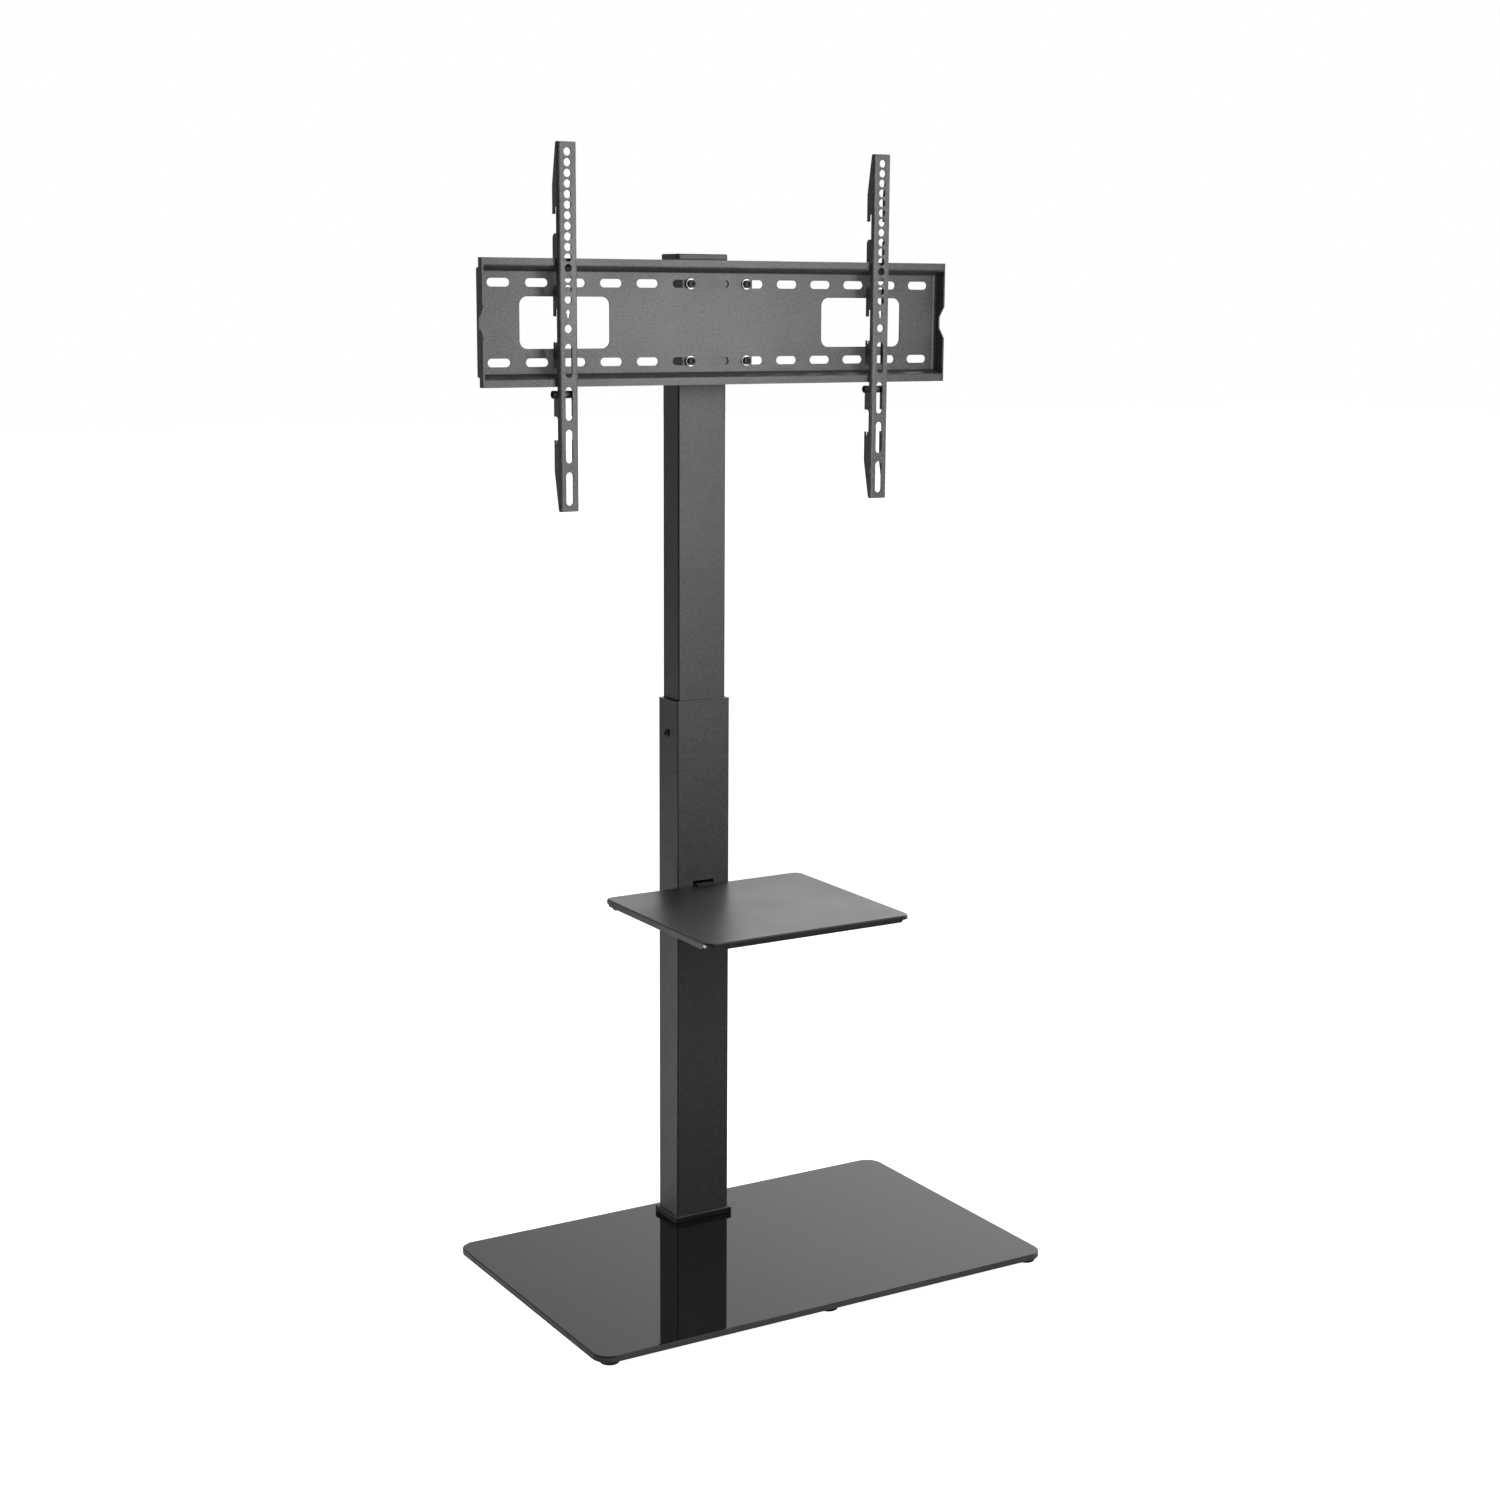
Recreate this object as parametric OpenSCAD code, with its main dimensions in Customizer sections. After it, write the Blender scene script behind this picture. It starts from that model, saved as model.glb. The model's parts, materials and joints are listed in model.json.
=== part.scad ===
/* [Glass base] */
// Width of the glass base, left to right
base_w = 650; // [600:5:800]
// Depth of the glass base, front to back
base_d = 405; // [360:5:500]
// Thickness of the glass
glass_t = 8; // [6:0.5:12]
// Radius of the glass base's corners
glass_r = 22; // [16:1:40]
// Ground edge of the glass
glass_edge = 0.8; // [0.4:0.1:1.5]
// From the glass's rear edge to the back of the column
column_inset = 27; // [26:1:40]

/* [Feet and base hardware] */
// Height of the rubber feet
foot_h = 5; // [4.5:0.5:8]
// Diameter of a foot
foot_d = 24; // [16:1:26]
// Slanted edge under a foot
foot_edge = 1; // [0.4:0.1:1.5]
// Foot centre in from the glass's side edge
foot_in_x = 20; // [16:1:40]
// Foot centre in from the glass's front or rear edge
foot_in_y = 16; // [14:1:17]
// Width of the steel plate under the glass
under_w = 200; // [120:5:300]
// Depth of the steel plate under the glass
under_d = 92; // [70:2:120]
// How far that plate runs behind the column's axis
under_back = 20.5; // [18:0.5:20.5]
// Thickness of that plate
under_t = 3; // [2.5:0.1:3.2]
// Corner radius of that plate and its pad
under_r = 10; // [5:1:15]
// Thickness of the rubber pad on it
pad_t = 0.8; // [0.5:0.1:1]
// Diameter of the base screws' threads
base_screw_d = 6; // [5:0.5:8]
// Head diameter of the base screws
base_head_d = 11.8; // [11:0.1:12]
// Base screw spacing, left to right
base_screw_x = 44; // [36:1:48]
// Base screw spacing, front to back
base_screw_y = 22; // [18:1:24]
// How far a base screw stays short of the foot plate's top
base_screw_short = 1; // [0.5:0.5:3]
// Outer diameter of the nylon bushes in the glass
bush_d = 10.6; // [10:0.1:11]
// Diameter of the holes in the glass
glass_hole_d = 11; // [11:0.1:12]
// Thickness of the gasket between glass and column
gasket_t = 1; // [0.5:0.1:2]
// Thickness of the threaded plate in the column's foot
foot_plate_t = 8; // [5:0.5:12]
// Width that the foot collar adds on each side of the column
collar_margin = 4.9; // [4:0.1:8]
// Height of the foot collar
collar_h = 8.5; // [6:0.5:11]
// Bevel round the foot collar's edges
collar_edge = 0.8; // [0.3:0.1:1.2]

/* [Lower column] */
// Width of the lower tube
lower_w = 78; // [76:0.5:82]
// Depth of the lower tube
lower_d = 50; // [46:0.5:54]
// Wall of the lower tube
lower_wall = 1.5; // [1.2:0.1:1.8]
// Corner radius of the lower tube
lower_r = 2.5; // [2:0.1:4]
// Length of the lower tube
lower_len = 702; // [680:1:710]
// Height of the guide bushing's rim on the tube's mouth
bushing_rim_h = 2; // [1.5:0.1:4]
// How far that rim overhangs the tube on each side
bushing_rim_out = 0.4; // [0.2:0.1:1]
// How deep the guide bushing reaches into the tube
bushing_len = 60; // [55:1:62]
// Height lock screw below the tube's mouth
lock_drop = 42; // [36:1:46]
// Thread diameter of the height lock screw
lock_d = 6; // [5:0.5:8]
// Head diameter of the height lock screw
lock_head_d = 9; // [8:0.5:12]
// Head height of the height lock screw
lock_head_h = 3.5; // [3:0.5:5]
// Gap from the screw's tip to the upper tube
lock_tip_gap = 0.3; // [0.3:0.05:0.6]
// Width of the slot for the shelf's hook
hook_slot_w = 31; // [28:1:34]
// Height of that slot
hook_slot_h = 10; // [9:0.5:13]
// How far the slot reaches below the shelf's top
hook_slot_low = 4; // [3:0.5:5]

/* [Upper column] */
// Width of the upper tube
upper_w = 69.5; // [68.5:0.1:70]
// Depth of the upper tube
upper_d = 41; // [37:0.5:43]
// Wall of the upper tube
upper_wall = 1.5; // [1.2:0.1:2]
// Corner radius of the upper tube
upper_r = 2.5; // [2.2:0.1:4]
// Length of the upper tube
upper_len = 680; // [675:1:700]
// How far the upper tube stands out of the lower tube
mast_rise = 558.5; // [555:0.5:561]
// Bottom thickness of the glide on the tube's lower end
glide_floor = 4; // [2:0.5:6]
// How far the glide reaches up round the tube
glide_len = 55; // [20:1:58]
// Width that the glide's floor covers inside the tube
glide_ledge = 4; // [3:0.5:6]
// Height of the end cap's rim
cap_h = 8; // [5:0.5:12]
// How far the end cap overhangs the tube on each side
cap_out = 1.9; // [0.5:0.1:3]
// Bevel round the end cap's top
cap_edge = 1; // [0.5:0.1:1.5]
// How deep the end cap's plug reaches into the tube
cap_plug = 15; // [8:1:25]

/* [Shelf] */
// Width of the shelf
shelf_w = 294; // [260:2:340]
// Depth of the shelf
shelf_d = 266; // [220:2:290]
// Height of the shelf's top above the floor
shelf_z = 473; // [440:1:476]
// Sheet thickness of the shelf
shelf_t = 1.5; // [1.2:0.1:1.8]
// Corner radius of the shelf
shelf_r = 12; // [8:1:16]
// Height of the shelf's front and side edges
shelf_edge_h = 8.5; // [8:0.5:12]
// Outer radius of the shelf's bends
shelf_bend = 2.5; // [2:0.1:3.5]
// Slant at the lower ends of those edges
shelf_slant = 3; // [2:0.5:4]
// Height of the shelf's rear edge
shelf_back_h = 19; // [18:0.5:24]
// Radius of the rear edge's lower corners
shelf_back_r = 6; // [3:0.5:9]
// Width of the shelf's hook
hook_w = 25; // [20:1:26]
// How far the hook rises above the shelf's top
hook_rise = 3; // [2:0.5:4]
// Length of the ramp up to the hook
hook_ramp = 5.5; // [4:0.5:8]
// Width of the relief cut on each side of the hook
hook_relief = 1.2; // [0.8:0.1:2]
// Flat of the hook in front of the column
hook_flat = 2; // [1:0.5:3]
// Gap between the hook and the tube's inner wall
hook_gap = 0.4; // [0.2:0.1:0.8]
// How far the hook hangs down behind the wall
hook_hang = 14; // [12:1:16]
// Diameter of the two small holes in the shelf's left edge
tie_hole_d = 2.2; // [1.5:0.1:2.6]
// Distance between those holes, along the edge
tie_hole_pitch = 7; // [5:0.5:9]
// Small holes from the column's front face
tie_hole_y = 127; // [110:1:140]
// Small holes below the shelf's top
tie_hole_low = 5.2; // [4.5:0.1:5.4]
// Thread diameter of the shelf screws
shelf_screw_d = 5; // [4:0.5:6]
// Head diameter of the shelf screws
shelf_head_d = 9; // [8:0.5:10]
// Head height of the shelf screws
shelf_head_h = 3; // [2.6:0.2:4]
// Spacing of the shelf screws
shelf_screw_x = 50; // [46:1:54]
// Shelf screws below the shelf's top
shelf_screw_low = 11; // [10:0.5:12]

/* [Head bracket] */
// From the upper tube's front to the back of the mount plate
bracket_reach = 37.3; // [34:0.1:45]
// Width of the bracket's face
bracket_w = 100; // [98:1:104]
// Height of the bracket's face
bracket_h = 120; // [112:1:130]
// Sheet thickness of the bracket
bracket_t = 3; // [2.5:0.1:3]
// How far the bracket's side edges turn back
bracket_lip = 12; // [8:1:18]
// Height of the welded side walls
bracket_wall_h = 76; // [60:1:78]
// How far the side walls reach along the tube
bracket_hold = 32; // [20:1:38]
// Slant at the side walls' rear corners
bracket_slant = 12; // [6:1:18]
// Plate bolt spacing, left to right
bolt_x = 80; // [78:1:82]
// Thread diameter of the plate bolts
bolt_d = 6; // [5:0.5:8]
// Head diameter of the plate bolts
bolt_head_d = 10; // [9:0.1:12]
// Head height of the plate bolts
bolt_head_h = 4; // [3:0.5:6]
// How far a plate bolt stands out behind its nut
bolt_tail = 2; // [1:0.5:4]
// Outer diameter of the washers
washer_d = 12.8; // [12.4:0.1:14]
// Thickness of the washers
washer_t = 1.6; // [1:0.1:2.5]
// Width across flats of the nuts
nut_flats = 10; // [9.5:0.1:10.5]
// Thickness of the nuts
nut_t = 5; // [4:0.5:6]

/* [Mount plate] */
// Width of the mount plate
plate_w = 660; // [630:5:680]
// Height of the mount plate over its lips
plate_h = 151; // [147:1:158]
// Sheet thickness of the mount plate
plate_t = 2; // [1.6:0.1:2.4]
// Plate centre below the upper tube's top
plate_drop = 76; // [70:0.5:80]
// How far the lips stand in front of the web
lip_ahead = 19.1; // [17:0.1:22]
// Height of a lip
lip_h = 10.3; // [10:0.1:11]
// Rise of the slanted flange between web and lip
lip_rise = 4.4; // [3.5:0.1:6]
// Inner radius of the plate's bends
plate_bend = 1.5; // [1:0.1:2]
// Half height of the end plates at the web
end_half = 62.5; // [62:0.5:64]
// Depth of the end plates' front ears
end_ear = 10.4; // [8:0.1:11]
// How far the ears stand in front of the lips
end_ahead = 0.4; // [0.2:0.1:1.5]
// Half width of the notch in an end plate's ears
end_notch = 20.2; // [16:0.2:24]
// Half width of that notch's floor
end_notch_floor = 7.4; // [5:0.2:10]
// Outer radius of the bends between web and end plates
end_bend = 6.5; // [4:0.5:7]
// Number of slots in a row
slot_count = 13; // [9:2:13]
// Distance between slots in a row
slot_pitch = 50; // [48:0.5:50]
// Length of a slot
slot_w = 30; // [28:1:34]
// Height of a slot
slot_h = 10; // [9:0.5:11]
// Distance between the two rows
row_gap = 94; // [92:1:98]
// Width of a window
window_w = 121; // [100:1:130]
// Height of a window
window_h = 61.5; // [50:0.5:68]
// Corner radius of a window
window_r = 10; // [6:1:14]
// Window centre from the plate's middle
window_x = 212.5; // [180:0.5:220]

/* [TV arms] */
// Half the distance between the two arms' middles
arm_x = 223.2; // [100:0.1:290]
// How far the pair of arms stands right of the plate's middle
arm_shift = 1.8; // [0:0.1:3]
// Length of an arm
arm_len = 434; // [428:1:460]
// Width of an arm
arm_w = 25.5; // [24:0.5:28]
// Depth of an arm
arm_d = 15.4; // [15:0.1:16]
// Sheet thickness of an arm
arm_t = 2; // [1.6:0.1:2.2]
// Outer bend radius of an arm
arm_r = 3.5; // [2.5:0.1:4]
// Arm face in front of the plate's lips
arm_ahead = 7.6; // [7.4:0.1:7.9]
// Gap above the lip in a hook
hang_gap = 0.3; // [0.3:0.1:0.6]
// First hook below the arm's top
hook_first = 74.5; // [72:0.5:76]
// Distance between hooks
hook_pitch = 59.5; // [59:0.5:60]
// Near edge of the hook slots, behind the arm's face
hook_in = 5.7; // [5.3:0.1:6]
// Width of a hook slot
hook_open = 4.8; // [4.5:0.1:5]
// Corner radius at the top of a hook slot
hook_corner = 1.2; // [1:0.1:1.6]
// Length of a hook's tongue
hook_tongue = 8.8; // [7:0.1:8.8]
// From a hook's top to the shoulder below it
hook_window = 31; // [29:0.5:33]
// Radius of the shoulders below the hooks
shoulder_r = 6; // [4:0.5:7]
// First rest shoulder below the arm's top
rest_first = 232.5; // [231:0.5:234]
// Distance between rest shoulders
rest_pitch = 58; // [57.5:0.5:58.5]
// Height of the recess above a rest shoulder
rest_window = 28; // [26:0.5:29]
// Radius at the top of those recesses
rest_r = 4; // [2:0.5:5]
// Depth of the notch behind a rest shoulder's tip
rest_notch = 5; // [3:0.5:7]
// Width of that notch
rest_notch_w = 4.2; // [3.6:0.1:4.6]
// Width of a rest shoulder's tip
rest_tip = 2.2; // [1.8:0.1:2.6]
// Depth of the arm's top end
top_depth = 6.5; // [6:0.5:9]
// Corner slant at the arm's top
top_slant = 1.6; // [1:0.1:2]
// Length of the taper at the top
top_taper = 50; // [40:1:55]
// Length of the taper at the bottom
bottom_taper = 48; // [40:1:50]
// Depth of the arm's bottom end
bottom_depth = 5; // [4.5:0.5:8]
// Corner slant at the arm's bottom
bottom_slant = 2; // [1:0.5:2.5]
// Number of round TV bolt holes in an arm
hole_count = 15; // [11:1:15]
// First round hole below the arm's top
hole_first = 11.6; // [10:0.1:13]
// Distance between round holes
hole_pitch = 12.2; // [12:0.1:12.3]
// Diameter of the round holes
hole_d = 9.6; // [8:0.1:10]
// Keyhole below the arm's top
key_drop = 197.3; // [195:0.1:199]
// Diameter of the keyhole
key_d = 5.7; // [5:0.1:6.4]
// Width of the keyhole's slot
key_slot_w = 3.5; // [3:0.1:4]
// Reach of the keyhole's slot below its hole
key_slot_l = 6.7; // [5:0.1:7]
// Single round hole below the arm's top
low_hole_drop = 216.8; // [216:0.1:218]
// Diameter of that hole
low_hole_d = 10; // [9:0.1:10]
// Middle of the first TV bolt slot below the arm's top
arm_slot_first = 254.3; // [252:0.1:256]
// Distance between TV bolt slots
arm_slot_pitch = 50.8; // [50:0.1:51]
// Length of a TV bolt slot
arm_slot_l = 40; // [36:0.5:42]
// Width of a TV bolt slot
arm_slot_w = 9.3; // [8.5:0.1:10]
// Number of TV bolt slots
arm_slot_count = 4; // [3:1:4]
// Lock screw below the arm's top
arm_lock_drop = 294.3; // [294:0.1:295]
// Lock screw behind the arm's face
arm_lock_depth = 10; // [9.5:0.1:10.5]
// Thread diameter of the lock screw
arm_lock_d = 5; // [4.5:0.1:5.4]
// Head diameter of the lock screw
arm_lock_head_d = 9.5; // [9:0.5:12]
// Head height of the lock screw
arm_lock_head_h = 5; // [4:0.5:6]
// Outer diameter of the lock sleeve
arm_sleeve_d = 9.2; // [8.4:0.1:9.6]
// Width across flats of the lock screw's nut
arm_nut_flats = 8; // [7.6:0.1:8.4]
// Thickness of that nut
arm_nut_t = 4; // [3:0.1:5]

/* [Fits] */
// Gap round a screw in its thread
thread_fit = 0.05; // [0.03:0.01:0.08]
// Gap round a screw in a plain hole
screw_fit = 0.2; // [0.15:0.05:0.3]
// Gap round a part seated in another
seat_fit = 0.05; // [0.03:0.01:0.1]
// Gap between sliding parts
slide_fit = 0.3; // [0.25:0.01:0.35]
// Wall of the drawn collars behind the threads
thread_collar = 2; // [1.5:0.1:2.2]
// Depth of the drawn collars behind the threads
collar_depth = 1.5; // [1.2:0.1:1.6]
// Bevel on the screws' heads and tips
screw_edge = 0.4; // [0.2:0.1:0.6]
// Depth of the hexagon sockets in the screw heads
socket_deep = 2.2; // [1.5:0.1:2.5]

/* [Hidden] */
$fn = 64;
cut = 1;
hex_sides = 6;
bend_steps = 6;
// Hexagon socket across its corners, as a share of the head's diameter
socket_share = 0.55;

column_y = base_d / 2 - column_inset - lower_d / 2;
glass_z = foot_h;
glass_top = glass_z + glass_t;
under_z = glass_z - pad_t - under_t;
tube_z = glass_top + gasket_t;
mouth_z = tube_z + lower_len;
lower_in_w = lower_w - 2 * lower_wall;
lower_in_d = lower_d - 2 * lower_wall;
lower_in_r = lower_r - lower_wall;
lock_z = mouth_z - lock_drop;
mast_top = mouth_z + mast_rise;
mast_z = mast_top - upper_len;
plate_z = mast_top - plate_drop;
plate_back = column_y - upper_d / 2 - bracket_reach;
web_y = plate_back - plate_t;
lip_y = web_y - lip_ahead;
arm_y = lip_y - arm_ahead;
arm_top = plate_z + plate_h / 2 + hook_first + hook_pitch + hang_gap;
column_front = column_y - lower_d / 2;

// Flat rectangle with round corners, about its middle
module round_rect(w, d, r) {
    square([w - 2 * r, d], center = true);
    square([w, d - 2 * r], center = true);
    for (sx = [-1, 1], sy = [-1, 1])
        translate([sx * (w / 2 - r), sy * (d / 2 - r)]) circle(r = r);
}

// Flat slot with round ends, its length along X
module slot_shape(l, h) {
    square([l - h, h], center = true);
    for (sx = [-1, 1]) translate([sx * (l - h) / 2, 0]) circle(d = h);
}

// Cross-section of a slab with bevelled long edges
module slab_section(half, t, e) {
    polygon([
        [-half + e, 0], [half - e, 0], [half, e], [half, t - e],
        [half - e, t], [-half + e, t], [-half, t - e], [-half, e]
    ]);
}

// Slab with round corners and bevelled edges, standing on z = 0
module edged_slab(w, d, t, r, e) {
    translate([-(w / 2 - r), 0, 0]) rotate([90, 0, 90])
        linear_extrude(w - 2 * r) slab_section(d / 2, t, e);
    translate([0, d / 2 - r, 0]) rotate([90, 0, 0])
        linear_extrude(d - 2 * r) slab_section(w / 2, t, e);
    for (sx = [-1, 1], sy = [-1, 1])
        translate([sx * (w / 2 - r), sy * (d / 2 - r), 0])
            rotate_extrude()
                polygon([[0, 0], [r - e, 0], [r, e], [r, t - e], [r - e, t], [0, t]]);
}

// Rectangular tube standing on z = 0
module box_tube(w, d, wall, r, h) {
    linear_extrude(h) difference() {
        round_rect(w, d, r);
        round_rect(w - 2 * wall, d - 2 * wall, r - wall);
    }
}

// Screw along +Z with its head below z = 0 and a hexagon socket
module socket_screw(head_r, head_h, r, l) {
    difference() {
        rotate_extrude() polygon([
            [0, -head_h], [head_r - screw_edge, -head_h],
            [head_r, -head_h + screw_edge], [head_r, 0], [r, 0],
            [r, l - screw_edge], [r - screw_edge, l], [0, l]
        ]);
        translate([0, 0, -head_h - cut]) linear_extrude(socket_deep + cut)
            circle(r = head_r * socket_share, $fn = hex_sides);
    }
}

// Nut along +Z, standing on z = 0
module hex_nut(flats, t, hole_r) {
    linear_extrude(t) difference() {
        circle(r = flats / sqrt(3), $fn = hex_sides);
        circle(r = hole_r);
    }
}

// Positions of the base screws
module at_base_screws(z) {
    for (sx = [-1, 1], sy = [-1, 1])
        translate([sx * base_screw_x / 2, column_y + sy * base_screw_y / 2, z])
            children();
}

// Positions of the plate bolts, with +Z of the children to the rear
module at_bolts(y) {
    for (sx = [-1, 1], sz = [-1, 1])
        translate([sx * bolt_x / 2, y, plate_z + sz * row_gap / 2])
            rotate([-90, 0, 0]) children();
}

// Positions of the shelf screws, with +Z of the children to the rear
module at_shelf_screws(y) {
    for (sx = [-1, 1])
        translate([sx * shelf_screw_x / 2, y, shelf_z - shelf_screw_low])
            rotate([-90, 0, 0]) children();
}

module glass_base() {
    color("#141416") difference() {
        translate([0, 0, glass_z])
            edged_slab(base_w, base_d, glass_t, glass_r, glass_edge);
        at_base_screws(glass_z - cut)
            cylinder(h = glass_t + 2 * cut, d = glass_hole_d);
    }
}

module base_feet() {
    r = foot_d / 2;
    color("#1c1c1c")
        for (sx = [-1, 0, 1], sy = [-1, 1])
            translate([
                sx * (base_w / 2 - foot_in_x), sy * (base_d / 2 - foot_in_y), 0
            ])
                rotate_extrude() polygon([
                    [0, 0], [r - foot_edge, 0], [r, foot_edge], [r, foot_h], [0, foot_h]
                ]);
}

module under_pad() {
    color("#202020") difference() {
        translate([0, column_y + under_back - under_d / 2, glass_z - pad_t])
            linear_extrude(pad_t) round_rect(under_w, under_d, under_r);
        at_base_screws(glass_z - pad_t - cut)
            cylinder(h = pad_t + 2 * cut, d = base_screw_d + 2 * screw_fit);
    }
}

module under_plate() {
    top_r = base_screw_d / 2 + screw_fit;
    head_r = base_head_d / 2 + screw_fit;
    slope = (head_r - top_r) / under_t;
    color("#2a2b2c") difference() {
        translate([0, column_y + under_back - under_d / 2, under_z])
            linear_extrude(under_t) round_rect(under_w, under_d, under_r);
        at_base_screws(under_z - cut)
            cylinder(
                h = under_t + 2 * cut, r1 = head_r + slope * cut, r2 = top_r - slope * cut
            );
        at_base_screws(under_z)
            cylinder(h = under_t + cut, r = top_r);
    }
}

module base_screws() {
    r = base_screw_d / 2;
    head_r = base_head_d / 2;
    l = tube_z + foot_plate_t - base_screw_short - under_z;
    color("#4a4c4f") at_base_screws(under_z)
        difference() {
            rotate_extrude() polygon([
                [0, 0], [head_r, 0], [r, under_t], [r, l - screw_edge],
                [r - screw_edge, l], [0, l]
            ]);
            translate([0, 0, -cut]) linear_extrude(socket_deep + cut)
                circle(r = r * (1 - socket_share / 2), $fn = hex_sides);
        }
}

module glass_bushes() {
    color("#d8d6cf") at_base_screws(glass_z)
        linear_extrude(glass_t) difference() {
            circle(d = bush_d);
            circle(d = base_screw_d + 2 * screw_fit);
        }
}

module base_gasket() {
    color("#222222") difference() {
        translate([0, column_y, glass_top])
            linear_extrude(gasket_t) round_rect(lower_w, lower_d, lower_r);
        at_base_screws(glass_top - cut)
            cylinder(h = gasket_t + 2 * cut, d = base_screw_d + 2 * screw_fit);
    }
}

module column_foot_plate() {
    color("#3a3b3d") difference() {
        translate([0, column_y, tube_z])
            linear_extrude(foot_plate_t)
                round_rect(
                    lower_in_w - 2 * seat_fit, lower_in_d - 2 * seat_fit, lower_in_r
                );
        at_base_screws(tube_z - cut)
            cylinder(h = foot_plate_t + 2 * cut, r = base_screw_d / 2 + thread_fit);
    }
}

module foot_collar() {
    color("#2b2b2d") translate([0, column_y, glass_top]) difference() {
        edged_slab(
            lower_w + 2 * collar_margin, lower_d + 2 * collar_margin, collar_h,
            lower_r + collar_margin / 2, collar_edge
        );
        translate([0, 0, -cut]) linear_extrude(collar_h + 2 * cut)
            round_rect(lower_w + 2 * seat_fit, lower_d + 2 * seat_fit, lower_r);
    }
}

module lower_tube() {
    lock_r = lock_d / 2 + thread_fit;
    shelf_r_in = shelf_screw_d / 2 + thread_fit;
    color("#3c3d3f") difference() {
        union() {
            translate([0, column_y, tube_z])
                box_tube(lower_w, lower_d, lower_wall, lower_r, lower_len);
            translate([-lower_w / 2 + lower_wall / 2, column_y, lock_z])
                rotate([0, 90, 0])
                    cylinder(
                        h = lower_wall / 2 + collar_depth, r = lock_r + thread_collar
                    );
            at_shelf_screws(column_front + lower_wall / 2)
                cylinder(
                    h = lower_wall / 2 + collar_depth, r = shelf_r_in + thread_collar
                );
        }
        translate([-lower_w / 2 - cut, column_y, lock_z]) rotate([0, 90, 0])
            cylinder(h = lower_wall + collar_depth + 2 * cut, r = lock_r);
        at_shelf_screws(column_front - cut)
            cylinder(h = lower_wall + collar_depth + 2 * cut, r = shelf_r_in);
        translate([
            -hook_slot_w / 2, column_front - cut, shelf_z - hook_slot_low
        ])
            cube([hook_slot_w, lower_wall + 2 * cut, hook_slot_h]);
    }
}

module tube_bushing() {
    hole_r = lock_d / 2 + thread_fit + thread_collar + slide_fit;
    color("#2e2f31") difference() {
        union() {
            translate([0, column_y, mouth_z])
                edged_slab(
                    lower_w + 2 * bushing_rim_out, lower_d + 2 * bushing_rim_out,
                    bushing_rim_h, lower_r + bushing_rim_out, screw_edge
                );
            translate([0, column_y, mouth_z - bushing_len])
                linear_extrude(bushing_len + bushing_rim_h / 2)
                    round_rect(
                        lower_in_w - 2 * seat_fit, lower_in_d - 2 * seat_fit, lower_in_r
                    );
        }
        translate([0, column_y, mouth_z - bushing_len - cut])
            linear_extrude(bushing_len + bushing_rim_h + 2 * cut)
                round_rect(
                    upper_w + 2 * slide_fit, upper_d + 2 * slide_fit, upper_r + slide_fit
                );
        translate([-lower_w / 2, column_y, lock_z]) rotate([0, 90, 0])
            cylinder(h = lower_wall + (lower_in_w - upper_w) / 2 + cut, r = hole_r);
    }
}

module height_lock_screw() {
    l = (lower_w - upper_w) / 2 - lock_tip_gap;
    color("#1e1f20") translate([-lower_w / 2, column_y, lock_z]) rotate([0, 90, 0])
        socket_screw(lock_head_d / 2, lock_head_h, lock_d / 2, l);
}

// Cross-section of the shelf's edge, its outer face at x = 0 and its top at y = 0
module edge_section(h) {
    translate([0, -h]) square([shelf_t, h - shelf_bend]);
    intersection() {
        translate([shelf_bend, -shelf_bend]) difference() {
            circle(r = shelf_bend);
            circle(r = shelf_bend - shelf_t);
        }
        translate([0, -shelf_bend]) square(shelf_bend);
    }
}

// Folded edge of the shelf along X, its outer face at y = 0 and its top at z = 0
module shelf_edge(l, h) {
    intersection() {
        translate([-l / 2, 0, 0]) rotate([90, 0, 90])
            linear_extrude(l) edge_section(h);
        translate([0, shelf_bend + cut, 0]) rotate([90, 0, 0])
            linear_extrude(shelf_bend + 2 * cut) children();
    }
}

// Drawn corner of the shelf's edge, about the middle of its round
module shelf_corner() {
    h = shelf_edge_h - shelf_slant;
    intersection() {
        rotate_extrude() translate([shelf_r, 0]) mirror([1, 0]) edge_section(h);
        translate([0, 0, -h]) cube([shelf_r, shelf_r, h]);
    }
}

// Outline of a low folded edge with slanted lower ends
module slanted_edge(l, h) {
    polygon([
        [-l / 2, 0], [-l / 2, -h + shelf_slant], [-l / 2 + shelf_slant, -h],
        [l / 2 - shelf_slant, -h], [l / 2, -h + shelf_slant], [l / 2, 0]
    ]);
}

// Outline of the rear folded edge with round lower corners
module rounded_edge(l, h) {
    translate([0, -h / 2]) round_rect(l, h, shelf_back_r);
    translate([-l / 2, -h / 2]) square([l, h / 2]);
}

module shelf_hook() {
    back = lower_wall + hook_gap;
    translate([-hook_w / 2, column_front, shelf_z]) rotate([90, 0, 90])
        linear_extrude(hook_w) polygon([
            [-hook_ramp - hook_flat - shelf_t, 0], [-hook_ramp - hook_flat, 0],
            [-hook_flat, hook_rise],
            [back + shelf_t, hook_rise], [back + shelf_t, hook_rise - hook_hang],
            [back, hook_rise - hook_hang], [back, hook_rise - shelf_t],
            [-hook_flat + shelf_t / 2, hook_rise - shelf_t],
            [-hook_ramp - hook_flat + shelf_t / 2, -shelf_t],
            [-hook_ramp - hook_flat - shelf_t, -shelf_t]
        ]);
}

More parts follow.
